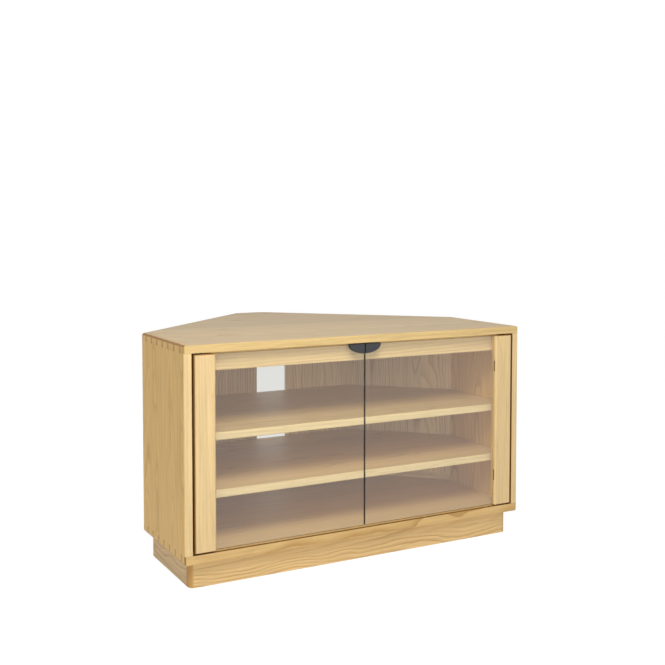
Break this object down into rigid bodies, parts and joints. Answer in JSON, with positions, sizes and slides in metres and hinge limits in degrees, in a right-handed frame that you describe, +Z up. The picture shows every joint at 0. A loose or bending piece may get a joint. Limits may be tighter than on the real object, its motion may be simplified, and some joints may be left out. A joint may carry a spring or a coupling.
{
  "type": "corner tv cabinet",
  "caption": "Low corner television cabinet in pale ash with dovetailed corners, glass doors on wooden stiles, shelves and a recessed plinth.",
  "frame": {"origin": "on the floor, under the middle of the cabinet's plan", "axes": "+X to the right as seen from the front, +Y from the doors to the corner of the room, +Z up"},
  "size_m": [1, 0.781, 0.599],
  "materials": {
    "ash": "satin lacquer",
    "back_ash": "satin lacquer",
    "clear_glass": "polished",
    "slate_metal": "satin",
    "steel": "satin",
    "dark_plastic": "matt"
  },
  "bodies": {
    "carcass": {"back_centre_floor_rail": "ash", "back_centre_panel": "back_ash", "bottom_board": "ash", "left_back_floor_rail": "ash", "left_back_panel": "back_ash", "left_back_post": "back_ash", "left_door_catch": "dark_plastic", "left_lower_pivot_pin": "steel", "left_lower_stud_back": "steel", "left_lower_stud_front": "steel", "left_lower_stud_rear": "steel", "left_plinth_block": "ash", "left_plinth_diagonal": "ash", "left_plinth_side": "ash", "left_side_panel": "ash", "left_upper_pivot_pin": "steel", "left_upper_stud_back": "steel", "left_upper_stud_front": "steel", "left_upper_stud_rear": "steel", "lower_shelf": "ash", "plinth_back": "ash", "plinth_front": "ash", "right_back_floor_rail": "ash", "right_back_panel": "back_ash", "right_back_post": "back_ash", "right_door_catch": "dark_plastic", "right_lower_pivot_pin": "steel", "right_lower_stud_back": "steel", "right_lower_stud_front": "steel", "right_lower_stud_rear": "steel", "right_plinth_block": "ash", "right_plinth_diagonal": "ash", "right_plinth_side": "ash", "right_side_panel": "ash", "right_upper_pivot_pin": "steel", "right_upper_stud_back": "steel", "right_upper_stud_front": "steel", "right_upper_stud_rear": "steel", "top_board": "ash", "top_front_rail": "ash", "upper_shelf": "ash"},
    "left_door": {"left_door_glass": "clear_glass", "left_door_stile": "ash", "left_lower_glass_clip": "dark_plastic", "left_lower_pivot_bush": "steel", "left_pull_back": "slate_metal", "left_pull_front": "slate_metal", "left_upper_glass_clip": "dark_plastic", "left_upper_pivot_bush": "steel"},
    "right_door": {"right_door_glass": "clear_glass", "right_door_stile": "ash", "right_lower_glass_clip": "dark_plastic", "right_lower_pivot_bush": "steel", "right_pull_back": "slate_metal", "right_pull_front": "slate_metal", "right_upper_glass_clip": "dark_plastic", "right_upper_pivot_bush": "steel"}
  },
  "joints": [
    {"name": "right_door_hinge", "type": "hinge", "parent": "carcass", "child": "right_door", "pos_m": [0.461, -0.378, 0.3335], "axis": [0, 0, 1], "range_deg": [0, 105]},
    {"name": "left_door_hinge", "type": "hinge", "parent": "carcass", "child": "left_door", "pos_m": [-0.461, -0.378, 0.3335], "axis": [0, 0, -1], "range_deg": [0, 105]}
  ]
}
